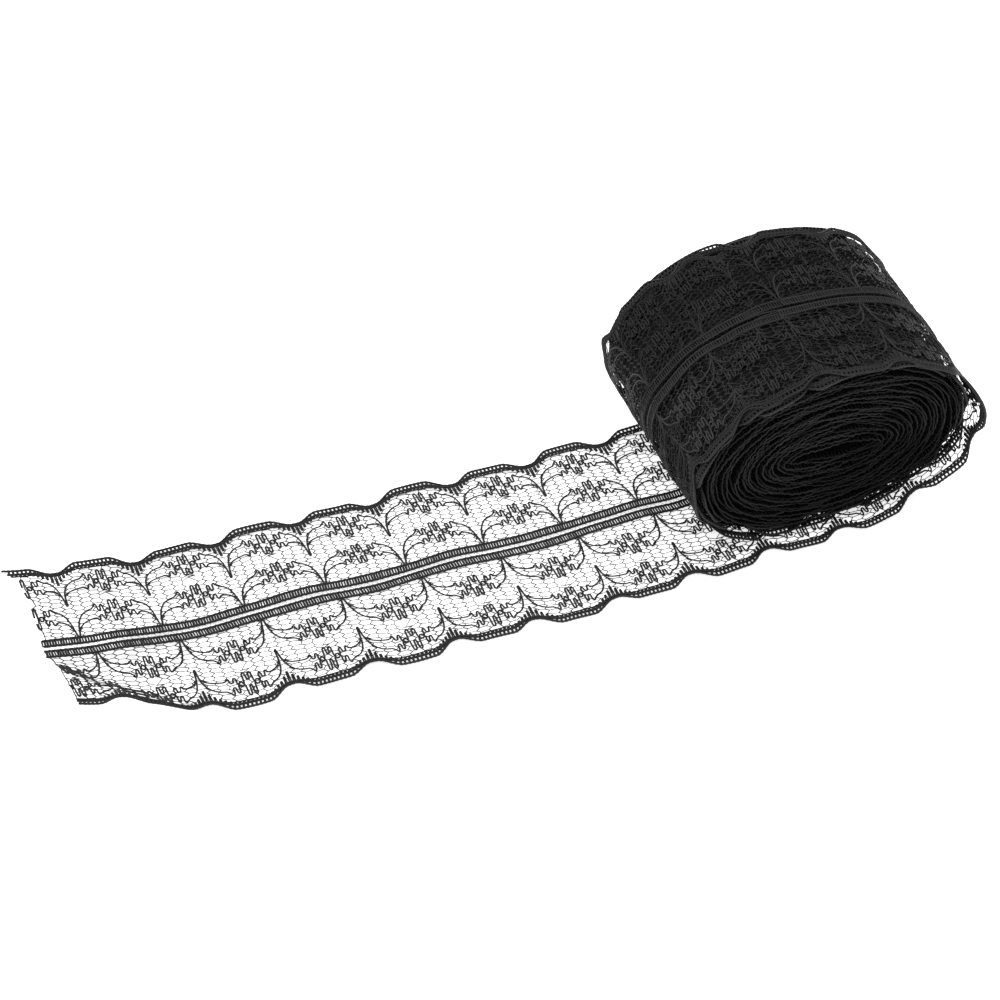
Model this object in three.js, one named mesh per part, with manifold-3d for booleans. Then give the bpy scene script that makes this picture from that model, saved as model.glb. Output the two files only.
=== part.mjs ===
// Roll of black lace trim: one strip of machine lace wound into an oval roll without a core,
// its loose end laid out on the table. Millimetres; X runs along the strip, Y across it, Z up.
import * as THREE from "three";
import { mergeVertices } from "three/addons/utils/BufferGeometryUtils.js";
import Module from "manifold-3d";

const wasm = await Module();
wasm.setup();
const { degToRad, radToDeg, lerp, smoothstep, clamp, euclideanModulo } = THREE.MathUtils;

// Strip
const laceWidth = 45; // across the tips of the scallops
const repeat = 15.65; // one repeat of the pattern along the strip
const scallopDepth = 2.5; // tip to trough
const groundThickness = 1; // net ground of the sheet
const relief = 0.4; // borders, bands and sprigs above the ground
const reliefSlope = 0.3; // width of the slope beside a raised line
const borderWidth = 2.1;
const bandInner = 0.7; // the two centre bands, from the centre line
const bandOuter = 2.6;
const farStem = 7; // first stem from the cut end, in the half away from the viewer
const nearStem = 8.7; // and in the half towards the viewer
const pieceGap = 0.3; // air between the sheet's raised lines and the roll

// Roll
const rollWidth = 55; // section of the outer turn
const rollHeight = 35;
const rollSquareness = 2.22; // 2 is an ellipse
const rollTilt = degToRad(7.5);
const rollCentre = { x: 55, y: 7.3, z: 18.35 };
const coreLength = 22; // flat slit in the middle of the turns
const coreHeight = 1.2;
const mainTurns = 9; // turns that show in the ends
const turnSteps = 48; // points round one turn
const turnDepth = 1.8; // groove between two turns, in from their edges
const grooveStart = 0.06; // turns over which the groove deepens, from the joint
const edgeShare = 0.6; // scallops of packed turns fill each other's troughs
const joinAngle = degToRad(62); // where the loose turn lies down on the roll

// Loose end
const cutEndX = -92;
const endLift = { length: 26, height: 4.4, power: 1.5 }; // the cut end curls up off the table
const cornerLift = { height: 5.2, reach: 13.8, power: 1.4 }; // its near corner turns up further
const crease = { // the slanting line along which that corner turns, on the flat strip
  start: new THREE.Vector2(0, -2.7),
  run: new THREE.Vector2(26, -19.8),
};
const drift = { start: 102, slope: 0.058 }; // the strip runs onto the roll at a small angle
const looseness = [ // air between the loose turn and the roll, on top of the spiral's own pitch
  { angle: -90, gap: 0 },
  { angle: -60, gap: 0.9 },
  { angle: -32, gap: 2.5 },
  { angle: 0, gap: 2.8 },
  { angle: 32, gap: 1.4 },
  { angle: 62, gap: 0 },
];

// Rounded oval of one turn: share 1 is the outer turn, 0 the flat slit at the core.
function turnPoint(angle, share) {
  const halfWidth = lerp(coreLength, rollWidth, share) / 2;
  const halfHeight = lerp(coreHeight, rollHeight, share) / 2;
  const tilt = rollTilt * share;
  const power = 2 / rollSquareness;
  const along = halfWidth * Math.sign(Math.cos(angle)) * Math.abs(Math.cos(angle)) ** power;
  const up = halfHeight * Math.sign(Math.sin(angle)) * Math.abs(Math.sin(angle)) ** power;
  return new THREE.Vector2(
    rollCentre.x + along * Math.cos(tilt) - up * Math.sin(tilt),
    rollCentre.z + along * Math.sin(tilt) + up * Math.cos(tilt),
  );
}

// The wound strip's route, in turns from the joint: positive inwards, negative out along the loose turn.
// Inset moves the point towards the core, in shares of the turns' pitch.
function spiralPoint(turn, inset = 0) {
  return turnPoint(joinAngle + 2 * Math.PI * turn, 1 - (turn + inset) / (mainTurns + 0.5));
}

function spiralNormal(turn) {
  const step = 0.002;
  const tangent = spiralPoint(turn + step).sub(spiralPoint(turn - step)).normalize();
  return new THREE.Vector2(tangent.y, -tangent.x);
}

// How far the edge draws in from the scallop tips; the troughs stand at the stems.
function scallop(length, stem) {
  const phase = euclideanModulo((length - stem) / repeat, 1);
  const fromStem = Math.min(phase, 1 - phase);
  return scallopDepth * (1 - smoothstep(fromStem, 0.03, 0.3));
}

function gapAt(angle) {
  const next = looseness.findIndex((row) => row.angle >= angle);
  if (next <= 0) return looseness[Math.max(next, 0)].gap;
  const low = looseness[next - 1];
  const high = looseness[next];
  return lerp(low.gap, high.gap, smoothstep(angle, low.angle, high.angle));
}

// Route of the loose end's underside: along the table, under the roll and up round its right side.
function makeRoute() {
  const points = [];
  const bottomTurn = (degToRad(-90) - joinAngle) / (2 * Math.PI);
  const flatEnd = spiralPoint(bottomTurn).x;
  const flatSteps = 12;
  for (let i = 0; i < flatSteps; i++) {
    points.push(new THREE.Vector3(lerp(cutEndX, flatEnd, i / flatSteps), 0, 0));
  }
  const arcSteps = 40;
  for (let i = 0; i <= arcSteps; i++) {
    const turn = bottomTurn * (1 - i / arcSteps);
    const gap = gapAt(radToDeg(joinAngle + 2 * Math.PI * turn));
    const point = spiralPoint(turn).addScaledVector(spiralNormal(turn), gap);
    points.push(new THREE.Vector3(point.x, 0, Math.max(point.y, 0)));
  }
  const curve = new THREE.CatmullRomCurve3(points, false, "centripetal");
  curve.arcLengthDivisions = 1200;
  return curve;
}

const route = makeRoute();
const endClearance = 0.8; // the sheet stops short of the step in the roll's outer turn
const underRoll = rollCentre.x - cutEndX - rollWidth / 2; // length at which the strip goes under the roll
const riseStart = underRoll + 0.75 * rollWidth; // and at which it has left the table again
const reliefFade = 10; // length over which the raised lines change from one face to the other
const rowsPerRepeat = 6;
const looseLength = route.getLength() - endClearance;

// Height of the curled cut end, with its near corner turned up along a slanting crease.
function liftAt(length, across) {
  const share = clamp(1 - length / endLift.length, 0, 1);
  const fromCrease = new THREE.Vector2(length, across).sub(crease.start);
  const past = Math.max(0, fromCrease.cross(crease.run) / crease.run.length());
  const corner = cornerLift.height * (past / cornerLift.reach) ** cornerLift.power;
  return endLift.height * share ** endLift.power + corner;
}

// A place on the strip: length from the cut end, distance across it, height above its underside.
function place(length, across, height) {
  const at = clamp(length / route.getLength(), 0, 1);
  const point = route.getPointAt(at);
  const tangent = route.getTangentAt(at);
  const shift = drift.slope * Math.max(0, length - drift.start);
  return new THREE.Vector3(
    point.x - tangent.z * height,
    across + shift,
    point.z + tangent.x * height + liftAt(length, across),
  );
}

// Lines along the strip, from the centre outwards: where they lie and whether they are raised.
function stripColumns(farEdge, nearEdge) {
  const half = (edge) => [
    { across: bandInner - reliefSlope, raised: 0 },
    { across: bandInner, raised: 1 },
    { across: bandOuter, raised: 1 },
    { across: bandOuter + reliefSlope, raised: 0 },
    { across: (bandOuter + edge - borderWidth) / 2, raised: 0 },
    { across: edge - borderWidth - reliefSlope, raised: 0 },
    { across: edge - borderWidth, raised: 1 },
    { across: edge, raised: 1 },
  ];
  const near = half(nearEdge).reverse().map((row) => ({ ...row, across: -row.across }));
  return [...near, ...half(farEdge)];
}

const columnsAt = (length) => stripColumns(
  laceWidth / 2 - scallop(length, farStem),
  laceWidth / 2 - scallop(length, nearStem),
);

function closedGeometry(positions, indices) {
  const geometry = new THREE.BufferGeometry();
  const numbers = positions.flatMap((point) => point.toArray());
  geometry.setAttribute("position", new THREE.Float32BufferAttribute(numbers, 3));
  geometry.setIndex(indices);
  return geometry;
}

// The loose end as a thin closed sheet with scalloped edges, raised borders and raised bands.
// On the table they stand up from its upper face; round the roll they stand out from its outer face.
function looseSheet() {
  const rows = Math.ceil(looseLength / (repeat / rowsPerRepeat));
  const positions = [];
  const indices = [];
  const columns = columnsAt(0).length;
  for (let i = 0; i <= rows; i++) {
    const length = (looseLength * i) / rows;
    const upper = relief * (1 - smoothstep(length, underRoll - reliefFade, underRoll));
    const outer = relief * smoothstep(length, riseStart, riseStart + reliefFade);
    const lines = columnsAt(length);
    for (const line of lines) {
      positions.push(place(length, line.across, groundThickness + upper * line.raised));
    }
    for (const line of lines) positions.push(place(length, line.across, -outer * line.raised));
  }
  const at = (row, column) => row * 2 * columns + column;
  const quad = (a, b, c, d) => indices.push(a, b, c, a, c, d);
  for (let i = 0; i < rows; i++) {
    for (let j = 0; j < columns - 1; j++) {
      quad(at(i, j), at(i + 1, j), at(i + 1, j + 1), at(i, j + 1));
      quad(at(i, columns + j), at(i, columns + j + 1), at(i + 1, columns + j + 1), at(i + 1, columns + j));
    }
    quad(at(i, 0), at(i, columns), at(i + 1, columns), at(i + 1, 0));
    quad(at(i, columns - 1), at(i + 1, columns - 1), at(i + 1, 2 * columns - 1), at(i, 2 * columns - 1));
  }
  for (let j = 0; j < columns - 1; j++) {
    quad(at(0, j), at(0, j + 1), at(0, columns + j + 1), at(0, columns + j));
    quad(at(rows, j), at(rows, columns + j), at(rows, columns + j + 1), at(rows, j + 1));
  }
  return closedGeometry(positions, indices);
}

// One sprig, charted from the foot of its stem: two arcs spread from it, and a flower stands beside it.
const stem = { back: -0.1, front: 0.45 };
const sprigArms = [ // side of the stem, tip of the arc along and across the strip, half the thread's width
  { side: 1, along: 4.4, across: 6.3, half: 0.32 },
  { side: -1, along: 3.6, across: 6.3, half: 0.32 },
];
const armBow = { inner: 1.6, outer: 0.6 }; // how far below its tip an arm's two edges turn
const flowerCentre = { along: 8.6, across: 5.4 };
const flowerHalf = [ // upper outline from the left: small petals, narrow waists and tall middle petals
  { along: -4, across: 0 },
  { along: -3, across: 1.1 },
  { along: -1.9, across: 0.25 },
  { along: -1.1, across: 2.6 },
  { along: 1.1, across: 2.6 },
  { along: 1.9, across: 0.25 },
  { along: 3, across: 1.1 },
  { along: 4, across: 0 },
];

function sprigShapes() {
  const arms = sprigArms.map((arm) => {
    const x = (value) => arm.side * value;
    const shape = new THREE.Shape();
    shape.moveTo(x(stem.back), 0);
    shape.lineTo(x(stem.front), 0);
    shape.quadraticCurveTo(x(stem.front), arm.across - armBow.inner, x(arm.along), arm.across - arm.half);
    shape.lineTo(x(arm.along), arm.across + arm.half);
    shape.quadraticCurveTo(0, arm.across - armBow.outer, x(stem.back), 0);
    return shape;
  });
  const below = flowerHalf.slice(1, -1).reverse();
  const lowerHalf = below.map((row) => ({ along: row.along, across: -row.across }));
  const outline = [...flowerHalf, ...lowerHalf].map((row) => new THREE.Vector2(
    flowerCentre.along + row.along,
    flowerCentre.across + row.across,
  ));
  return [...arms, new THREE.Shape(outline)];
}

// A sprig's raised lines on the strip; half is 1 away from the viewer and -1 towards them.
function raisedSprig(shape, foot, row, half) {
  const geometry = new THREE.ExtrudeGeometry(shape, { depth: 1, bevelEnabled: false, curveSegments: 4 });
  const sunk = groundThickness / 2;
  const positions = geometry.attributes.position;
  for (let i = 0; i < positions.count; i++) {
    const height = positions.getZ(i) > 0.5 ? groundThickness + relief : sunk;
    const point = place(foot + positions.getX(i), half * (row + positions.getY(i)), height);
    positions.setXYZ(i, point.x, point.y, point.z);
  }
  return solidOf(geometry, half < 0);
}

// A closed body for joining; a mirrored one has its faces turned the right way round again.
function solidOf(geometry, mirrored = false) {
  const bare = geometry.clone();
  bare.deleteAttribute("normal");
  bare.deleteAttribute("uv");
  const merged = mergeVertices(bare, 1e-4);
  const triVerts = new Uint32Array(merged.index.array);
  if (mirrored) {
    for (let i = 0; i < triVerts.length; i += 3) {
      [triVerts[i + 1], triVerts[i + 2]] = [triVerts[i + 2], triVerts[i + 1]];
    }
  }
  const vertProperties = new Float32Array(merged.attributes.position.array);
  return new wasm.Manifold(new wasm.Mesh({ numProp: 3, vertProperties, triVerts }));
}

function geometryOf(solid) {
  const mesh = solid.getMesh();
  const geometry = new THREE.BufferGeometry();
  geometry.setAttribute("position", new THREE.BufferAttribute(mesh.vertProperties, 3));
  geometry.setIndex(new THREE.BufferAttribute(mesh.triVerts, 1));
  return geometry;
}

// Rows of sprigs, by the distance of their stems' feet from the centre line.
const sprigRows = [2.6, 10.9];

function looseEnd() {
  let solid = solidOf(looseSheet());
  const shapes = sprigShapes();
  for (const [half, firstStem] of [[1, farStem], [-1, nearStem]]) {
    for (let foot = firstStem; foot + repeat < underRoll; foot += repeat) {
      for (const row of sprigRows) {
        for (const shape of shapes) solid = solid.add(raisedSprig(shape, foot, row, half));
      }
    }
  }
  return geometryOf(solid);
}

// Lines round the roll's outer turn, from the near end to the far end.
const wallLines = stripColumns(laceWidth / 2, laceWidth / 2).slice(1, -1);

// The wound form: a spiral of main turns with a groove between them in both ends, scalloped like the strip,
// and a small flat where it lies on the strip.
function woundRoll() {
  const steps = mainTurns * turnSteps;
  const flatSpot = groundThickness + relief + pieceGap;
  const positions = [];
  const indices = [];
  const add = (point, y) => positions.push(new THREE.Vector3(point.x, y, Math.max(point.y, flatSpot))) - 1;
  const triangle = (a, b, c, turned) => indices.push(...(turned ? [a, c, b] : [a, b, c]));
  const quad = (a, b, c, d, turned) => {
    triangle(a, b, c, turned);
    triangle(a, c, d, turned);
  };

  function endFace(side) {
    const crest = [];
    const groove = [];
    let length = looseLength;
    for (let k = 0; k <= steps; k++) {
      const turn = k / turnSteps;
      const edge = spiralPoint(turn);
      if (k > 0) length += edge.distanceTo(spiralPoint(turn - 1 / turnSteps));
      const firstStem = side > 0 ? farStem : nearStem;
      const reach = laceWidth / 2 - scallop(length, firstStem) * edgeShare;
      if (k <= turnSteps) edge.addScaledVector(spiralNormal(turn), relief);
      crest.push(add(edge, rollCentre.y + side * reach));
      const depth = turnDepth * smoothstep(turn, 0, grooveStart);
      groove.push(add(spiralPoint(turn, 0.5), rollCentre.y + side * (reach - depth)));
    }
    const turned = side > 0;
    for (let k = 0; k < steps; k++) {
      quad(crest[k], crest[k + 1], groove[k + 1], groove[k], turned);
      if (k < steps - turnSteps) {
        quad(groove[k], groove[k + 1], crest[k + turnSteps + 1], crest[k + turnSteps], turned);
      }
    }
    const core = new THREE.Vector2(rollCentre.x, rollCentre.z);
    const middle = add(core, rollCentre.y + side * (laceWidth / 2 - turnDepth));
    const inner = [...groove.slice(steps - turnSteps), crest[steps]];
    for (let k = 0; k < inner.length; k++) {
      triangle(inner[k], inner[(k + 1) % inner.length], middle, turned);
    }
    return [...crest.slice(0, turnSteps + 1), groove[0]];
  }

  const nearLoop = endFace(-1);
  const farLoop = endFace(1);
  const wallPoint = (k, raised) => {
    if (k > turnSteps) return spiralPoint(0, 0.5);
    const turn = k / turnSteps;
    return spiralPoint(turn).addScaledVector(spiralNormal(turn), relief * raised);
  };
  const rows = wallLines.map((line) => nearLoop.map((start, k) => (
    add(wallPoint(k, line.raised), rollCentre.y + line.across)
  )));
  const loops = [nearLoop, ...rows, farLoop];
  for (let i = 0; i < loops.length - 1; i++) {
    for (let k = 0; k < nearLoop.length; k++) {
      const next = (k + 1) % nearLoop.length;
      quad(loops[i][k], loops[i + 1][k], loops[i + 1][next], loops[i][next]);
    }
  }
  return closedGeometry(positions, indices);
}

function blackLace(name, geometry, color) {
  geometry.computeVertexNormals();
  const material = new THREE.MeshStandardMaterial({ color, roughness: 0.8, metalness: 0 });
  const mesh = new THREE.Mesh(geometry, material);
  mesh.name = name;
  return mesh;
}

const lace = new THREE.Group();
lace.add(blackLace("lace_roll", woundRoll(), 0x202022));
lace.add(blackLace("loose_end", looseEnd(), 0x1b1b1d));

// The origin is the middle of the whole footprint, on the table.
const box = new THREE.Box3().setFromObject(lace);
lace.position.set(-(box.min.x + box.max.x) / 2, -(box.min.y + box.max.y) / 2, -box.min.z);

export default lace;
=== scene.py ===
import math
import random

import bpy
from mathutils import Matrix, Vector


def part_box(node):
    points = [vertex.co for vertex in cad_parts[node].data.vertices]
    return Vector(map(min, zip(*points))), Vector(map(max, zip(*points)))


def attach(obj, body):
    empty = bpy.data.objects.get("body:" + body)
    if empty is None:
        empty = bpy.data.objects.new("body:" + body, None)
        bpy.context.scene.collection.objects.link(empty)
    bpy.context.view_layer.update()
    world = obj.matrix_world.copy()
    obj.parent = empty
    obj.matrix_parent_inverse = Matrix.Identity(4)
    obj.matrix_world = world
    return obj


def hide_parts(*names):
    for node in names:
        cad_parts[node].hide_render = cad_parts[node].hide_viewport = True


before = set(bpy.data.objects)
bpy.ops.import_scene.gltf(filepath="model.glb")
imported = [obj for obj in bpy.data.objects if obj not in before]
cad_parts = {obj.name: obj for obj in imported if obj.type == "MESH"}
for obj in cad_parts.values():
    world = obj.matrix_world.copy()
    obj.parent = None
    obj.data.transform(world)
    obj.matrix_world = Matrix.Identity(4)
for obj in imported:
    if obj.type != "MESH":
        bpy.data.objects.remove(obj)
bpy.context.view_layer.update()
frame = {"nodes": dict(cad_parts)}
mm = 0.001
print("frame loaded:", ", ".join(frame["nodes"]))

# Two anchors come from the frame: the strip's cut end and the middle of the roll.
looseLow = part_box("loose_end")[0]
rollLow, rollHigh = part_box("lace_roll")

# The lace laid flat, in millimetres: along the strip from its cut end, across from its centre line
strip = {
    "width": 45.0,  # over the tips of the scallops
    "repeat": 15.65,  # one repeat of the pattern
    "scallop": 2.3,  # tip to trough
    "trough": (0.03, 0.31),  # the edge leaves its trough and reaches its tip, in repeats from a stem
    "farStem": 7.0,  # first stem in the half away from the viewer
    "nearStem": 8.7,  # and in the half towards the viewer
}

roll = {  # the wound form, as its solid has it, with all its fine turns
    "width": 55.0,
    "height": 35.0,
    "squareness": (1.8, 2.22),  # of the innermost turn and the outermost; 2 is an ellipse
    "tilt": 7.5,
    "fromCut": 147.0,  # middle of the roll, along the table from the cut end
    "aside": 7.3,  # and across from the tail's centre line
    "lift": 18.35,
    "coreLength": 16.0,  # narrow eye in the middle
    "coreHeight": 0.6,
    "collapse": 0.85,  # under 1, the flat turns are close round the eye
    "turns": 28.0,
    "eyeTurns": 0.5,  # room for half a turn is left as the eye
    "layer": 0.5,  # each turn's thickness where they lie under the roll
    "solidTurns": 9.5,  # the loose turn widens as the solid's fewer turns do
    "joinAngle": 62.0,  # where the loose turn lies down on the roll
    "slack": [  # angle, gap under the loose turn
        (-180, 1.8), (-160, 2.4), (-120, 1.8), (-90, 0.0), (-60, 0.9), (-32, 2.5),
        (-8, 2.2), (20, 0.3), (62, 0.0), (150, 0.0), (180, 1.8),
    ],
    "slackShare": 0.35,  # of the gap, left in each next turn inwards
    "ripple": 0.16,  # unevenness of the turns
    "rippleWaves": [(3, 1.9, 1.0), (5, -1.3, 1.0), (23, 3.1, 0.5)],  # count in a turn, shift per turn, share
    "stagger": (0.17, 0.1),  # of their edges: every second turn stands out, and none lies quite true
    "staggerChange": 6.0,  # sharpness of the change from one turn to the next
    "strayWaves": [(2.7, 0.0, 1.0), (4.1, 1.0, 0.7), (0.77, 0.0, 0.5)],  # pace, start, share
    "repeat": 15.1,  # the wound strip is a little slack
}

tail = {  # the loose end on the table
    "rest": 0.5,  # middle of its threads above the table
    "runOut": 5.0,  # the run starts this far before the cut
    "endLift": {"length": 26.0, "height": 4.4, "power": 1.5},
    "drift": {"start": 102.0, "slope": 0.058},
    "cornerLift": {"height": 2.5, "reach": 8.0, "slope": 0.3},  # near corner, past a slanting crease
    "creaseStart": (0.0, -2.7),
    "creaseRun": (26.0, -19.8),
    "borderCut": {"start": 19.4, "slope": 0.9},  # the far border is cut aslant and runs on past the net
    "bandOverhang": 0.8,
    "bandMargin": 0.3,
}


def smoothStep(value, low, high):
    share = min(max((value - low) / (high - low), 0.0), 1.0)
    return share * share * (3 - 2 * share)


def mix(low, high, share):
    return low + (high - low) * share


def signedPower(value, power):
    return math.copysign(abs(value) ** power, value)


# Route of the strip: out along the table, under the roll, up its right side and round into the core

def turnPoint(angle, share):
    halfWidth = mix(roll["coreLength"], roll["width"], share) / 2
    halfHeight = mix(roll["coreHeight"], roll["height"], share ** roll["collapse"]) / 2
    power = 2 / mix(*roll["squareness"], share)
    out = halfWidth * signedPower(math.cos(angle), power)
    up = halfHeight * signedPower(math.sin(angle), power)
    tilt = math.radians(roll["tilt"]) * share
    x = roll["fromCut"] + out * math.cos(tilt) - up * math.sin(tilt)
    z = roll["lift"] + out * math.sin(tilt) + up * math.cos(tilt)
    return Vector((x, z))


def spiralPoint(turn):
    angle = math.radians(roll["joinAngle"]) + 2 * math.pi * turn
    pitch = roll["turns"] + roll["eyeTurns"] if turn > 0 else roll["solidTurns"]
    return turnPoint(angle, 1 - turn / pitch)


def spiralNormal(turn):
    step = 0.002
    tangent = (spiralPoint(turn + step) - spiralPoint(turn - step)).normalized()
    return Vector((tangent.y, -tangent.x))


def slackAt(angle):
    rows = roll["slack"]
    for (lowAngle, lowGap), (highAngle, highGap) in zip(rows, rows[1:]):
        if lowAngle <= angle <= highAngle:
            return mix(lowGap, highGap, smoothStep(angle, lowAngle, highAngle))
    return 0.0


def turnGap(turn):
    angle = (roll["joinAngle"] + 360 * turn + 180) % 360 - 180
    inward = max(0, math.ceil(turn))  # whole turns inside the loose one
    uneven = 0.0
    for waves, shift, share in roll["rippleWaves"]:
        uneven += share * math.sin(waves * math.radians(angle) + shift * turn)
    return slackAt(angle) * roll["slackShare"] ** inward + roll["ripple"] * uneven * min(max(turn, 0), 1)


def endLift(along):
    lift = tail["endLift"]
    return lift["height"] * max(1 - along / lift["length"], 0) ** lift["power"]


def stripRun():
    points = []
    bottomTurn = (-90 - roll["joinAngle"]) / 360
    flatEnd = spiralPoint(bottomTurn).x
    flatSteps = 150
    for i in range(flatSteps):
        along = mix(-tail["runOut"], flatEnd, i / flatSteps)
        points.append((along, 0.0, tail["rest"] + endLift(along)))
    stepsPerTurn = 90
    firstStep = round(bottomTurn * stepsPerTurn)
    for i in range(firstStep, round(roll["turns"] * stepsPerTurn) + 1):
        turn = max(i / stepsPerTurn, bottomTurn)
        place = spiralPoint(turn) + spiralNormal(turn) * turnGap(turn)
        pressed = tail["rest"] + roll["layer"] * max(0, math.ceil(turn))
        everySecond, stray = roll["stagger"]
        strayed = 0.0
        for pace, start, share in roll["strayWaves"]:
            strayed += share * math.sin(pace * turn + start)
        standOut = math.tanh(roll["staggerChange"] * math.cos(math.pi * turn))
        aside = (everySecond * standOut + stray * strayed) * min(max(turn, 0), 1)
        points.append((place.x, aside, max(place.y, pressed)))
    return points, len(points) - 1 - round(roll["turns"] * stepsPerTurn)


runPoints, joinIndex = stripRun()
runLengths = [-tail["runOut"]]  # from the cut end
for before, after in zip(runPoints, runPoints[1:]):
    runLengths.append(runLengths[-1] + math.dist((before[0], before[2]), (after[0], after[2])))
joinLength = runLengths[joinIndex]
print(f"strip run: {runLengths[-1]:.0f} mm, of it {joinLength:.0f} mm loose")

cutEndX = looseLow.x
stripY = (rollLow.y + rollHigh.y) / 2 - roll["aside"] * mm


def runCurve():
    curve = bpy.data.curves.new("stripRun", "CURVE")
    curve.dimensions = "3D"
    spline = curve.splines.new("POLY")
    spline.points.add(len(runPoints) - 1)
    for point, (x, y, z), length in zip(spline.points, runPoints, runLengths):
        shift = min(tail["drift"]["slope"] * max(0, length - tail["drift"]["start"]), roll["aside"])
        point.co = (cutEndX + x * mm, stripY + (y + shift) * mm, z * mm, 1)
    run = bpy.data.objects.new("stripRun", curve)
    bpy.context.scene.collection.objects.link(run)
    return run


# Chart of one repeat: threads as (points, half thickness), the far half's stem at 0 along

border = {
    "edge": 0.27,  # half thickness of its threads
    "middle": 0.31,
    "rung": 0.23,
    "comb": 0.16,
    "bump": 0.09,  # small rise of the edge at each stitch
    "stitches": 20,
    "lean": 0.08,
    "inner": 0.19,
    "openWidth": 1.0,  # from the edge to the middle rail at a scallop's tip
    "shutWidth": 0.45,  # and at its trough
    "innerWidth": 0.66,  # from the middle rail to the inner one at a tip
    "toothWidth": 0.36,
    "toothTaper": 0.7,
    "toothLength": (0.6, 2.2),  # on a scallop's tip, and what the trough adds
    "toothReach": 1.15,  # along the strip, over which the long teeth fade
}

bands = {
    "inner": 0.62,
    "outer": 2.2,
    "rail": 0.31,
    "rung": (0.15, 0.25),
    "rungs": 30,
    "lean": 0.12,
    "bump": 0.1,
    "seed": 3,
    "link": 0.03,  # fine threads that hold the two bands together
    "links": 10,
}

sprig = {
    "thread": 0.185,
    "rows": [(2.4, 0.35, 5.7), (10.7, 2.3, 6.0)],  # foot across, stem and flower's axis above it
    "centre": 8.55,  # of the flower, along from its stem
    "stem": (0.1, 0.25),  # half width at its foot and top
    "armRise": (0.5, 0.55),  # an arm first climbs this far along, to this share of its height
    "armReach": 0.42,  # then bends over at this share of its run
    "armDip": (0.25, 0.35),  # and sags below its end: the upper arm, the lower arm
    "upperTeeth": [  # from the flower's centre outwards: tall tooth, small loop, two short teeth
        (0.0, 0.4), (0.2, 0.55), (0.28, 2.55), (0.45, 2.85), (0.65, 2.85), (0.82, 2.55), (0.88, 0.4),
        (1.0, 0.0), (1.25, 0.5), (1.65, 0.5), (2.0, 0.0),
        (2.1, 0.4), (2.12, 1.6), (2.25, 1.85), (2.45, 1.85), (2.6, 1.6), (2.66, 0.6),
        (2.8, 0.42), (3.0, 0.45),
        (3.16, 0.7), (3.2, 1.8), (3.35, 2.1), (3.58, 2.1), (3.78, 1.7), (4.4, 1.1),
    ],
    "lowerTeeth": [
        (0.0, -0.95), (0.22, -1.1), (0.3, -2.4), (0.45, -2.7), (0.66, -2.7), (0.84, -2.4), (0.88, -0.5),
        (1.0, 0.0), (1.3, -0.55), (1.65, -0.55), (2.0, 0.0),
        (2.1, -0.5), (2.12, -1.55), (2.25, -1.85), (2.44, -1.85), (2.6, -1.55), (2.66, -0.95),
        (2.8, -0.78), (3.1, -0.78),
        (3.26, -1.0), (3.35, -1.75), (3.5, -2.0), (3.7, -1.95), (3.9, -1.5), (4.4, -1.35),
    ],
}

net = {
    "columns": 8,  # in one repeat
    "rowHeight": 1.2,
    "slope": 0.33,  # run of a slanting thread, in columns
    "thread": 0.088,
    "paired": 0.076,  # the lengthwise threads, twisted in pairs
    "clearOfEdge": 1.3,
    "uneven": 0.16,
    "seed": 11,
    "eyelets": [(12.2, 1.0), (20.0, 0.6)],  # open places over the flowers: distance across, radius
}

innerEdge = {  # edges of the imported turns, whose scallops fill each other's troughs
    "rail": 0.18,
    "rung": 0.1,
    "depth": 1.3,
    "bump": 0.25,
    "scallopShare": 0.25,
    "steps": 20,
}


def drawnIn(along):
    fromStem = abs((along / strip["repeat"] + 0.5) % 1 - 0.5)
    low, high = strip["trough"]
    return strip["scallop"] * (1 - smoothStep(fromStem, low, high))


def edgeAt(along):
    return strip["width"] / 2 - border["edge"] - drawnIn(along)


def middleRailAt(along):
    shut = drawnIn(along) / strip["scallop"]
    return edgeAt(along) - mix(border["openWidth"], border["shutWidth"], shut)


def innerRailAt(along):
    shut = drawnIn(along) / strip["scallop"]
    return middleRailAt(along) - border["innerWidth"] * (1 - shut)


def borderThreads():
    stitches = border["stitches"]
    steps = 2 * stitches
    alongs = [strip["repeat"] * i / steps for i in range(steps + 1)]
    threads = [
        ([(x, edgeAt(x) + border["bump"] * (i % 2)) for i, x in enumerate(alongs)], border["edge"]),
        ([(x, middleRailAt(x)) for x in alongs[::2]], border["middle"]),
        ([(x, innerRailAt(x)) for x in alongs[::2]], border["inner"]),
    ]
    pitch = strip["repeat"] / stitches
    comb = []
    for i in range(stitches):
        x = pitch * (i + 0.5)
        threads.append(([(x, edgeAt(x)), (x + border["lean"], middleRailAt(x))], border["rung"]))
        tooth = pitch * i
        fromStem = min(tooth, strip["repeat"] - tooth)
        tipLength, troughLength = border["toothLength"]
        length = tipLength + troughLength * math.exp(-fromStem / border["toothReach"])
        root = middleRailAt(tooth)
        half = border["toothWidth"] / 2
        tip = half * border["toothTaper"]
        comb += [(tooth - half, root), (tooth - tip, root - length)]
        comb += [(tooth + tip, root - length), (tooth + half, root)]
    threads.append((comb, border["comb"]))
    return threads


def bandThreads():
    steps = bands["rungs"]
    draw = random.Random(bands["seed"])
    alongs = [strip["repeat"] * i / steps for i in range(steps + 1)]
    threads = []
    for y in (bands["inner"], bands["outer"]):
        threads.append(([(x, y + bands["bump"] * (i % 2)) for i, x in enumerate(alongs)], bands["rail"]))
    pitch = strip["repeat"] / bands["rungs"]
    for i in range(bands["rungs"]):
        x = pitch * (i + 0.5)
        rung = [(x, bands["inner"]), (x + bands["lean"], bands["outer"])]
        threads.append((rung, draw.uniform(*bands["rung"])))
    return threads


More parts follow.
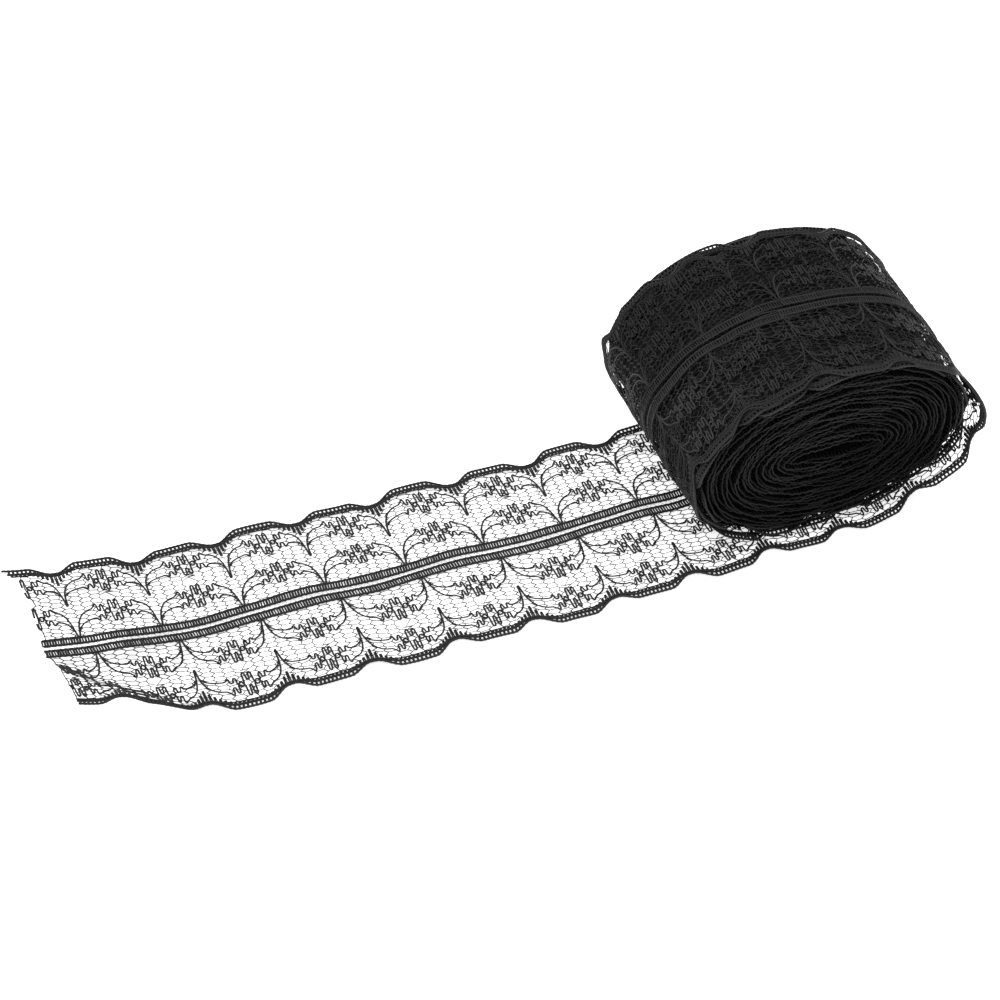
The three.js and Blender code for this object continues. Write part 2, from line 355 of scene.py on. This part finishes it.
def arc(start, startPull, endPull, end, steps=7):
    points = []
    for i in range(steps + 1):
        t = i / steps
        weights = ((1 - t) ** 3, 3 * t * (1 - t) ** 2, 3 * t * t * (1 - t), t ** 3)
        corners = (start, startPull, endPull, end)
        points.append(tuple(sum(w * c[axis] for w, c in zip(weights, corners)) for axis in (0, 1)))
    return points


def sprigThread(teeth, foot, stem, axis, dip):
    centre = sprig["centre"]
    rightTeeth = [(centre + x, axis + y) for x, y in teeth]
    leftTeeth = [(centre - x, axis + y) for x, y in reversed(teeth[1:])]

    def arm(end, stemX, side):
        footHalf, topHalf = sprig["stem"]
        riseRun, riseShare = sprig["armRise"]
        top = (stemX + side * topHalf, stem)
        startPull = (stemX + side * riseRun, mix(stem, end[1], riseShare))
        endPull = (mix(stemX, end[0], sprig["armReach"]), end[1] - dip)
        return [(stemX + side * footHalf, 0.0)] + arc(top, startPull, endPull, end)

    left = arm(leftTeeth[0], 0.0, 1)
    right = arm(rightTeeth[-1], strip["repeat"], -1)
    points = left[:-1] + leftTeeth + rightTeeth + right[-2::-1]
    return [(x, foot + y) for x, y in points]


def sprigThreads():
    threads = []
    upperDip, lowerDip = sprig["armDip"]
    for foot, stem, axis in sprig["rows"]:
        threads.append((sprigThread(sprig["upperTeeth"], foot, stem, axis, upperDip), sprig["thread"]))
        threads.append((sprigThread(sprig["lowerTeeth"], foot, stem, axis, lowerDip), sprig["thread"]))
    return threads


def openEyelets(x, y):
    for across, radius in net["eyelets"]:
        offset = Vector(((x - sprig["centre"]) % strip["repeat"], y - across))
        if offset.x > strip["repeat"] / 2:
            offset.x -= strip["repeat"]
        if 0 < offset.length < 2 * radius:
            pushed = offset * ((radius + offset.length / 2) / offset.length - 1)
            x += pushed.x
            y += pushed.y
    return x, y


def netThreads():
    threads = []
    draw = random.Random(net["seed"])
    columnPitch = strip["repeat"] / net["columns"]
    lean = columnPitch * net["slope"] / 2
    step = net["rowHeight"] / 2
    start = bands["outer"]
    most = int((strip["width"] / 2 - start) / step)
    wobble = []
    for column in range(net["columns"]):
        wobble.append([draw.uniform(-1, 1) * net["uneven"] for value in range(2 * most + 2)])

    def knot(column, row):
        x = columnPitch * (column + 0.5) + (lean if (column + row) % 2 == 0 else -lean)
        shifts = wobble[column % net["columns"]]
        held = min(row, 1)  # the first row is fast to the band
        return openEyelets(x + shifts[2 * row] * held, start + row * step + shifts[2 * row + 1] * held)

    for column in range(net["columns"]):
        x = columnPitch * (column + 0.5)
        rows = int((edgeAt(x) - net["clearOfEdge"] - start) / step)
        threads.append(([knot(column, row) for row in range(rows + 1)], net["thread"]))
        for row in range(1, rows + 1):
            if (column + row) % 2 == 0:
                threads.append(([knot(column, row), knot(column + 1, row)], net["paired"]))
    return threads


def edgeThreads():
    alongs = [strip["repeat"] * i / innerEdge["steps"] for i in range(innerEdge["steps"] + 1)]
    rail = []
    for i, x in enumerate(alongs):
        edge = strip["width"] / 2 - drawnIn(x) * innerEdge["scallopShare"]
        rail.append((x, edge + innerEdge["bump"] * (i % 2)))
    rungs = [([(x, y), (x, y - innerEdge["depth"])], innerEdge["rung"]) for x, y in rail[1:]]
    return [(rail, innerEdge["rail"])] + rungs


def bothHalves(threads):
    lag = strip["nearStem"] - strip["farStem"]
    near = [([(x + lag, -y) for x, y in points], size) for points, size in threads]
    return threads + near


def linkThreads():
    pitch = strip["repeat"] / bands["links"]
    points = []
    for i in range(2 * bands["links"] + 1):
        points.append((pitch * i / 2, bands["inner"] * (1 if i % 2 else -1)))
    return [(points, bands["link"])]


# A thread swept round a sharp corner is pinched there, so its corners are widened like a mitre.
def cornerWidths(points):
    mitreLimit = 0.6
    widths = [1.0] * len(points)
    for i in range(1, len(points) - 1):
        before = (Vector(points[i]) - Vector(points[i - 1])).normalized()
        after = (Vector(points[i + 1]) - Vector(points[i])).normalized()
        widths[i] = 1 / max(math.cos(before.angle(after, 0) / 2), mitreLimit)
    return widths


def chartCurve(name, threads):
    curve = bpy.data.curves.new(name, "CURVE")
    curve.dimensions = "3D"
    for points, size in threads:
        spline = curve.splines.new("POLY")
        spline.points.add(len(points) - 1)
        for point, (x, y), widening in zip(spline.points, points, cornerWidths(points)):
            point.co = (x * mm, y * mm, 0, 1)
            point.radius = size * widening * mm
    chart = bpy.data.objects.new(name, curve)
    bpy.context.scene.collection.objects.link(chart)
    return chart


def nodeTools(tree):
    def plug(socket, value):
        if isinstance(value, bpy.types.NodeSocket):
            tree.links.new(value, socket)
        else:
            socket.default_value = value

    def add(kind, inputs=None, **settings):
        node = tree.nodes.new(kind)
        for name, value in settings.items():
            setattr(node, name, value)
        for key, value in (inputs or {}).items():
            plug(node.inputs[key], value)
        return node

    def scalar(operation, *values):
        node = add("ShaderNodeMath", operation=operation)
        for socket, value in zip(node.inputs, values):
            plug(socket, value)
        return node.outputs[0]

    def vector(operation, *values):
        node = add("ShaderNodeVectorMath", operation=operation)
        for socket, value in zip(node.inputs, values):
            plug(socket, value)
        return node.outputs[0]

    def scaled(value, size):
        node = add("ShaderNodeVectorMath", {"Scale": size}, operation="SCALE")
        plug(node.inputs[0], value)
        return node.outputs[0]

    return add, scalar, vector, scaled


def newTree(name, sockets):
    tree = bpy.data.node_groups.new(name, "GeometryNodeTree")
    tree.interface.new_socket("Geometry", in_out="OUTPUT", socket_type="NodeSocketGeometry")
    for label, kind, default in sockets:
        socket = tree.interface.new_socket(label, in_out="INPUT", socket_type="NodeSocket" + kind)
        if default is not None:
            socket.default_value = default
    given = tree.nodes.new("NodeGroupInput").outputs
    result = tree.nodes.new("NodeGroupOutput").inputs[0]
    return tree, given, result


unevenness = {  # hand of the lace, in millimetres
    "wave": 0.3,  # sideways sway of the whole strip
    "waveLength": 31.0,
    "jitter": 0.2,
    "woundJitter": 0.42,  # the wound lace puckers
    "jitterSize": 9.0,
    "seed": 4.6,
}


# Lays flat geometry (along, across, height) on the strip's run, with a little sway
# and with its near corner turned up.
def layTree():
    tree, given, result = newTree("layOnRun", [
        ("Geometry", "Geometry", None),
        ("Run", "Object", None),
        ("Wave", "Float", unevenness["wave"] * mm),
        ("Wave Length", "Float", unevenness["waveLength"] * mm),
        ("Jitter", "Float", unevenness["jitter"] * mm),
        ("Jitter Size", "Float", unevenness["jitterSize"] * mm),
        ("Corner Height", "Float", tail["cornerLift"]["height"] * mm),
        ("Corner Reach", "Float", tail["cornerLift"]["reach"] * mm),
        ("Corner Slope", "Float", tail["cornerLift"]["slope"]),
        ("Seed", "Float", unevenness["seed"]),
    ])
    add, scalar, vector, scaled = nodeTools(tree)
    flat = add("GeometryNodeInputPosition").outputs[0]
    noise = add("ShaderNodeTexNoise", {
        "Vector": flat,
        "W": given["Seed"],
        "Scale": scalar("DIVIDE", 1, given["Jitter Size"]),
        "Detail": 0.0,
    }, noise_dimensions="4D")
    spread = scalar("MULTIPLY", given["Jitter"], 4)  # the noise keeps to the middle half of its range
    centred = vector("SUBTRACT", noise.outputs["Color"], (0.5, 0.5, 0.5))
    moved = vector("ADD", flat, scaled(centred, spread))
    flatParts = add("ShaderNodeSeparateXYZ", {"Vector": flat}).outputs
    along, across, height = add("ShaderNodeSeparateXYZ", {"Vector": moved}).outputs
    phase = scalar("DIVIDE", scalar("MULTIPLY", along, 2 * math.pi), given["Wave Length"])
    sway = scalar("MULTIPLY", scalar("SINE", scalar("ADD", phase, given["Seed"])), given["Wave"])
    run = add("GeometryNodeObjectInfo", {"Object": given["Run"]}, transform_space="ORIGINAL")
    sample = add("GeometryNodeSampleCurve", {
        "Curves": run.outputs["Geometry"],
        "Length": scalar("ADD", along, tail["runOut"] * mm),
    }, mode="LENGTH")
    inward = vector("NORMALIZE", vector("CROSS_PRODUCT", sample.outputs["Tangent"], (0, 1, 0)))
    startAlong, startAcross = tail["creaseStart"]
    runAlong, runAcross = Vector(tail["creaseRun"]).normalized()
    pastAlong = scalar("MULTIPLY", scalar("SUBTRACT", flatParts[0], startAlong * mm), runAcross)
    pastAcross = scalar("MULTIPLY", scalar("SUBTRACT", flatParts[1], startAcross * mm), runAlong)
    past = scalar("MAXIMUM", scalar("SUBTRACT", pastAlong, pastAcross), 0)
    fold = add("ShaderNodeMapRange", {
        "Value": past,
        "From Max": given["Corner Reach"],
        "To Max": given["Corner Height"],
    }, interpolation_type="SMOOTHSTEP").outputs[0]
    aside = add("ShaderNodeCombineXYZ", {
        "Y": scalar("ADD", across, sway),
        "Z": scalar("ADD", fold, scalar("MULTIPLY", past, given["Corner Slope"])),
    }).outputs[0]
    place = vector("ADD", vector("ADD", sample.outputs["Position"], aside), scaled(inward, height))
    laid = add("GeometryNodeSetPosition", {"Geometry": given["Geometry"], "Position": place})
    tree.links.new(laid.outputs[0], result)
    return tree


# Repeats a chart of threads along the strip, cuts its end, lays it on the run and thickens its threads.
def laceTree(lay):
    tree, given, result = newTree("laceThreads", [
        ("Chart", "Object", None),
        ("Run", "Object", None),
        ("Repeat", "Float", strip["repeat"] * mm),
        ("Repeats", "Int", 1),
        ("Start", "Float", 0.0),
        ("Border Start", "Float", tail["borderCut"]["start"] * mm),
        ("Border Slope", "Float", tail["borderCut"]["slope"]),
        ("Band Width", "Float", (bands["outer"] + tail["bandMargin"]) * mm),
        ("Band Overhang", "Float", tail["bandOverhang"] * mm),
        ("Jitter", "Float", unevenness["jitter"] * mm),
        ("Sides", "Int", 4),
        ("Material", "Material", None),
    ])
    add, scalar = nodeTools(tree)[:2]
    chart = add("GeometryNodeObjectInfo", {"Object": given["Chart"]}, transform_space="ORIGINAL")
    line = add("GeometryNodeMeshLine", {
        "Count": given["Repeats"],
        "Start Location": add("ShaderNodeCombineXYZ", {"X": given["Start"]}).outputs[0],
        "Offset": add("ShaderNodeCombineXYZ", {"X": given["Repeat"]}).outputs[0],
    }, mode="OFFSET", count_mode="TOTAL")
    placed = add("GeometryNodeInstanceOnPoints", {
        "Points": line.outputs[0],
        "Instance": chart.outputs["Geometry"],
    })
    flatLace = add("GeometryNodeRealizeInstances", {"Geometry": placed.outputs[0]}).outputs[0]
    flat = add("ShaderNodeSeparateXYZ", {"Vector": add("GeometryNodeInputPosition").outputs[0]}).outputs
    intoBorder = scalar("MAXIMUM", scalar("SUBTRACT", flat[1], given["Border Start"]), 0)
    inBand = scalar("LESS_THAN", scalar("ABSOLUTE", flat[1]), given["Band Width"])
    borderRun = scalar("MULTIPLY", intoBorder, given["Border Slope"])
    overhang = scalar("ADD", borderRun, scalar("MULTIPLY", inBand, given["Band Overhang"]))
    trimmed = add("GeometryNodeDeleteGeometry", {
        "Geometry": flatLace,
        "Selection": scalar("LESS_THAN", scalar("ADD", flat[0], overhang), 0),
    }, domain="POINT")
    laid = add("GeometryNodeGroup", node_tree=lay)
    tree.links.new(trimmed.outputs[0], laid.inputs["Geometry"])
    tree.links.new(given["Run"], laid.inputs["Run"])
    tree.links.new(given["Jitter"], laid.inputs["Jitter"])
    profile = add("GeometryNodeCurvePrimitiveCircle", {
        "Resolution": given["Sides"],
        "Radius": 1.0,
    }, mode="RADIUS")
    threads = add("GeometryNodeCurveToMesh", {
        "Curve": laid.outputs[0],
        "Profile Curve": profile.outputs[0],
        "Scale": add("GeometryNodeInputRadius").outputs[0],
    })
    whole = add("GeometryNodeRealizeInstances", {"Geometry": threads.outputs[0]})
    done = add("GeometryNodeSetMaterial", {"Geometry": whole.outputs[0], "Material": given["Material"]})
    tree.links.new(done.outputs[0], result)
    return tree


cloth = {  # of the inner turns, in millimetres
    "edgeInset": 1.2,  # behind the tips of the scallops
    "inset": 0.6,  # below the threads
    "farReach": 2.0,  # the outer turns' far edges stand out and close the border's windows
    "reachStart": 220.0,  # over this stretch they draw back
    "reachEnd": 400.0,
    "stepLength": 1.3,
    "stepsAcross": 12,
}


# The inner turns as one thin cloth with the strip's scalloped edges.
def woundTree(lay):
    tree, given, result = newTree("woundCloth", [
        ("Run", "Object", None),
        ("Start", "Float", 0.0),
        ("Length", "Float", 1.0),
        ("Half Width", "Float", strip["width"] / 2 * mm),
        ("Far Reach", "Float", cloth["farReach"] * mm),
        ("Reach Start", "Float", cloth["reachStart"] * mm),
        ("Reach End", "Float", cloth["reachEnd"] * mm),
        ("Repeat", "Float", strip["repeat"] * mm),
        ("Scallop", "Float", strip["scallop"] * mm),
        ("Inset", "Float", cloth["inset"] * mm),
        ("Steps Along", "Int", 100),
        ("Steps Across", "Int", cloth["stepsAcross"]),
        ("Material", "Material", None),
    ])
    add, scalar = nodeTools(tree)[:2]
    grid = add("GeometryNodeMeshGrid", {
        "Size X": given["Length"],
        "Size Y": 2.0,
        "Vertices X": given["Steps Along"],
        "Vertices Y": given["Steps Across"],
    })
    flat = add("ShaderNodeSeparateXYZ", {"Vector": add("GeometryNodeInputPosition").outputs[0]}).outputs
    halfLength = scalar("MULTIPLY", given["Length"], 0.5)
    along = scalar("ADD", scalar("ADD", flat[0], halfLength), given["Start"])
    lag = (strip["nearStem"] - strip["farStem"]) * mm
    nearLag = scalar("MULTIPLY", scalar("LESS_THAN", flat[1], 0), lag)
    stem = scalar("ADD", nearLag, strip["farStem"] * mm)
    repeats = scalar("DIVIDE", scalar("SUBTRACT", along, stem), given["Repeat"])
    phase = scalar("FRACT", scalar("ADD", repeats, 0.5))
    fromStem = scalar("ABSOLUTE", scalar("SUBTRACT", phase, 0.5))
    low, high = strip["trough"]
    drawn = add("ShaderNodeMapRange", {
        "Value": fromStem,
        "From Min": low,
        "From Max": high,
        "To Min": given["Scallop"],
        "To Max": 0.0,
    }, interpolation_type="SMOOTHSTEP").outputs[0]
    outerReach = add("ShaderNodeMapRange", {
        "Value": scalar("SUBTRACT", along, given["Start"]),
        "From Min": given["Reach Start"],
        "From Max": given["Reach End"],
        "To Min": given["Far Reach"],
        "To Max": 0.0,
    }).outputs[0]
    farReach = scalar("MULTIPLY", scalar("GREATER_THAN", flat[1], 0), outerReach)
    halfWidth = scalar("ADD", given["Half Width"], farReach)
    across = scalar("MULTIPLY", flat[1], scalar("SUBTRACT", halfWidth, drawn))
    spread = add("ShaderNodeCombineXYZ", {"X": along, "Y": across, "Z": given["Inset"]}).outputs[0]
    shaped = add("GeometryNodeSetPosition", {"Geometry": grid.outputs[0], "Position": spread})
    laid = add("GeometryNodeGroup", node_tree=lay)
    tree.links.new(shaped.outputs[0], laid.inputs["Geometry"])
    tree.links.new(given["Run"], laid.inputs["Run"])
    smooth = add("GeometryNodeSetShadeSmooth", {"Geometry": laid.outputs[0]})
    whole = add("GeometryNodeRealizeInstances", {"Geometry": smooth.outputs[0]})
    done = add("GeometryNodeSetMaterial", {"Geometry": whole.outputs[0], "Material": given["Material"]})
    tree.links.new(done.outputs[0], result)
    return tree


# Runs a tree on an empty object and keeps the result as a plain mesh.
def grow(name, tree, values):
    host = bpy.data.objects.new(name + "Host", bpy.data.meshes.new(name + "Host"))
    bpy.context.scene.collection.objects.link(host)
    modifier = host.modifiers.new(name, "NODES")
    modifier.node_group = tree
    for item in tree.interface.items_tree:
        if item.in_out == "INPUT" and item.name in values:
            modifier[item.identifier] = values[item.name]
    bpy.context.view_layer.update()
    evaluated = host.evaluated_get(bpy.context.evaluated_depsgraph_get())
    mesh = bpy.data.meshes.new_from_object(evaluated)
    host.modifiers.remove(modifier)
    bpy.data.objects.remove(host)
    mesh.name = name
    piece = bpy.data.objects.new(name, mesh)
    bpy.context.scene.collection.objects.link(piece)
    triangles = sum(len(polygon.vertices) - 2 for polygon in mesh.polygons)
    print(f"{name}: {triangles} triangles")
    return piece


fibreLook = {  # the same in every finish
    "detail": 3,
    "ramp": (0.35, 0.65),  # noise values of the dark and the light tone
    "roughnessRange": 0.12,
    "bumpHeight": 0.03 * mm,
    "sheenRoughness": 0.5,
}

threadFinish = {
    "dark": (0.007, 0.007, 0.0073, 1),
    "light": (0.02, 0.02, 0.0208, 1),
    "roughness": 0.6,
    "specular": 0.3,
    "fibre": 0.35 * mm,  # size of the uneven patches along a thread
    "sheen": 0.03,
    "bump": 0.3,
}

packedShadeFinish = {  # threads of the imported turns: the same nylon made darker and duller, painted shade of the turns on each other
    "dark": (0.0035, 0.0035, 0.0037, 1),
    "light": (0.0112, 0.0112, 0.0117, 1),
    "roughness": 0.7,
    "specular": 0.16,
    "fibre": 0.35 * mm,
    "sheen": 0.02,
    "bump": 0.3,
}

# the inner turns' cloth: the same nylon darker still, painted shade of the layers deep in the roll
clothShadeFinish = {
    "dark": (0.0022, 0.0022, 0.0024, 1),
    "light": (0.0055, 0.0055, 0.0059, 1),
    "roughness": 0.75,
    "specular": 0.12,
    "fibre": 0.6 * mm,
    "sheen": 0.02,
    "bump": 0.5,
}


def nylon(name, finish):
    material = bpy.data.materials.new(name)
    material.use_nodes = True
    nodes = material.node_tree.nodes
    links = material.node_tree.links
    shader = nodes["Principled BSDF"]
    shader.inputs["Specular IOR Level"].default_value = finish["specular"]
    shader.inputs["Sheen Weight"].default_value = finish["sheen"]
    shader.inputs["Sheen Roughness"].default_value = fibreLook["sheenRoughness"]
    place = nodes.new("ShaderNodeTexCoord")
    fibre = nodes.new("ShaderNodeTexNoise")
    fibre.inputs["Scale"].default_value = 1 / finish["fibre"]
    fibre.inputs["Detail"].default_value = fibreLook["detail"]
    links.new(place.outputs["Object"], fibre.inputs["Vector"])
    tone = nodes.new("ShaderNodeValToRGB")
    tones = zip(tone.color_ramp.elements, (finish["dark"], finish["light"]), fibreLook["ramp"])
    for element, color, position in tones:
        element.color = color
        element.position = position
    links.new(fibre.outputs["Fac"], tone.inputs["Fac"])
    links.new(tone.outputs["Color"], shader.inputs["Base Color"])
    gloss = nodes.new("ShaderNodeMapRange")
    gloss.inputs["To Min"].default_value = finish["roughness"] - fibreLook["roughnessRange"]
    gloss.inputs["To Max"].default_value = finish["roughness"] + fibreLook["roughnessRange"]
    links.new(fibre.outputs["Fac"], gloss.inputs["Value"])
    links.new(gloss.outputs["Result"], shader.inputs["Roughness"])
    bump = nodes.new("ShaderNodeBump")
    bump.inputs["Strength"].default_value = finish["bump"]
    bump.inputs["Distance"].default_value = fibreLook["bumpHeight"]
    links.new(fibre.outputs["Fac"], bump.inputs["Height"])
    links.new(bump.outputs["Normal"], shader.inputs["Normal"])
    return material


blackThread = nylon("blackThread", threadFinish)
# the imported turns' threads get a darker copy of the nylon: painted shade
packedShadeThread = nylon("packedShadeThread", packedShadeFinish)
# the cloth gets the darkest copy of the nylon: painted shade
shadedBlackCloth = nylon("shadedBlackCloth", clothShadeFinish)

laceRepeats = {
    "loose": 15,  # on the table, under the roll and up its right side
    "outer": 24,  # the turns that show thread by thread
    "cloth": 7,  # of those, before the cloth under them starts
}

run = runCurve()
lay = layTree()
laceNodes = laceTree(lay)
woundNodes = woundTree(lay)
patternThreads = bothHalves(borderThreads() + bandThreads() + sprigThreads()) + linkThreads()
patternChart = chartCurve("patternChart", patternThreads)
netChart = chartCurve("netChart", bothHalves(netThreads()))
edgeChart = chartCurve("edgeChart", bothHalves(edgeThreads()))

looseStart = strip["farStem"] - strip["repeat"]  # the first repeat is cut through
outerStart = looseStart + laceRepeats["loose"] * strip["repeat"]
innerStart = outerStart + laceRepeats["outer"] * roll["repeat"]
innerRepeats = int((runLengths[-1] - innerStart) / roll["repeat"])
clothStart = outerStart + laceRepeats["cloth"] * roll["repeat"]
clothLength = runLengths[-1] - clothStart

looseStretch = (looseStart, laceRepeats["loose"], strip["repeat"])
outerStretch = (outerStart, laceRepeats["outer"], roll["repeat"])
innerStretch = (innerStart, innerRepeats, roll["repeat"])


def lace(name, chart, stretch, sides, jitter="jitter", material=blackThread):
    start, repeats, repeat = stretch
    return grow(name, laceNodes, {
        "Chart": chart,
        "Run": run,
        "Repeat": repeat * mm,
        "Repeats": repeats,
        "Start": start * mm,
        "Jitter": unevenness[jitter] * mm,
        "Sides": sides,
        "Material": material,
    })


loosePattern = lace("loosePattern", patternChart, looseStretch, sides=4)
looseNet = lace("looseNet", netChart, looseStretch, sides=3)
outerPattern = lace("outerPattern", patternChart, outerStretch, sides=3, jitter="woundJitter")
outerNet = lace("outerNet", netChart, outerStretch, sides=3, jitter="woundJitter")
# their edges wear the darker copy of the nylon: painted shade of the packed turns
innerEdges = lace("innerEdges", edgeChart, innerStretch, sides=3, material=packedShadeThread)
woundCloth = grow("woundCloth", woundNodes, {
    "Run": run,
    "Start": clothStart * mm,
    "Length": clothLength * mm,
    "Half Width": (strip["width"] / 2 - cloth["edgeInset"]) * mm,
    "Repeat": roll["repeat"] * mm,
    "Scallop": strip["scallop"] * innerEdge["scallopShare"] * mm,
    "Steps Along": int(clothLength / cloth["stepLength"]),
    # darkest copy of the nylon: painted shade of the inner layers
    "Material": shadedBlackCloth,
})
for helper in (run, patternChart, netChart, edgeChart):
    bpy.data.objects.remove(helper)

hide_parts("loose_end")
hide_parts("lace_roll")
for piece in (loosePattern, looseNet):
    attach(piece, "root")
for piece in (outerPattern, outerNet, innerEdges, woundCloth):
    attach(piece, "root")
print("pieces declared")

studio = {
    "azimuth": -20.87,  # the photograph's viewing angle
    "elevation": 42.01,
    "distance": 700.0,
    "aim": (92.0, 13.15),  # from the cut end, on the table
    "lens": 132.9,
    "sensor": 36.0,
    "clipStart": 0.01,
    "floor": 3.0,
    "paper": (0.93, 0.93, 0.93, 1),
    "paperRoughness": 0.9,
    "floorGlow": 0.7,  # a light table, so that no shadow shows
    "world": 0.75,
    "softbox": {"size": 1.6, "place": (-0.2, 0.1, 1.2), "watts": 11.0},
}


def makeFloor():
    size = studio["floor"] / 2
    mesh = bpy.data.meshes.new("floor")
    corners = [(-size, -size, 0), (size, -size, 0), (size, size, 0), (-size, size, 0)]
    mesh.from_pydata(corners, [], [(0, 1, 2, 3)])
    floor = bpy.data.objects.new("floor", mesh)
    bpy.context.scene.collection.objects.link(floor)
    paper = bpy.data.materials.new("whitePaper")
    paper.use_nodes = True
    shader = paper.node_tree.nodes["Principled BSDF"]
    shader.inputs["Base Color"].default_value = studio["paper"]
    shader.inputs["Roughness"].default_value = studio["paperRoughness"]
    shader.inputs["Emission Color"].default_value = (1, 1, 1, 1)
    shader.inputs["Emission Strength"].default_value = studio["floorGlow"]
    mesh.materials.append(paper)


def areaLight(name, place, target, size, watts):
    data = bpy.data.lights.new(name, "AREA")
    data.size = size
    data.energy = watts
    light = bpy.data.objects.new(name, data)
    light.location = place
    light.rotation_euler = (Vector(target) - Vector(place)).to_track_quat("-Z", "Y").to_euler()
    bpy.context.scene.collection.objects.link(light)


def makeStudio():
    makeFloor()
    world = bpy.data.worlds.new("softWhite")
    world.use_nodes = True
    world.node_tree.nodes["Background"].inputs["Color"].default_value = (1, 1, 1, 1)
    world.node_tree.nodes["Background"].inputs["Strength"].default_value = studio["world"]
    bpy.context.scene.world = world
    bpy.context.scene.view_settings.view_transform = "Standard"
    aim = Vector((cutEndX + studio["aim"][0] * mm, stripY + studio["aim"][1] * mm, 0))
    softbox = studio["softbox"]
    areaLight("softbox", aim + Vector(softbox["place"]), aim, softbox["size"], softbox["watts"])
    camera = bpy.data.cameras.new("camera")
    camera.lens = studio["lens"]
    camera.sensor_width = studio["sensor"]
    camera.clip_start = studio["clipStart"]
    azimuth = math.radians(studio["azimuth"])
    elevation = math.radians(studio["elevation"])
    back = Vector((
        math.sin(azimuth) * math.cos(elevation),
        -math.cos(azimuth) * math.cos(elevation),
        math.sin(elevation),
    ))
    viewer = bpy.data.objects.new("camera", camera)
    viewer.location = aim + back * studio["distance"] * mm
    viewer.rotation_euler = (-back).to_track_quat("-Z", "Y").to_euler()
    bpy.context.scene.collection.objects.link(viewer)
    bpy.context.scene.camera = viewer


makeStudio()
print("studio ready")
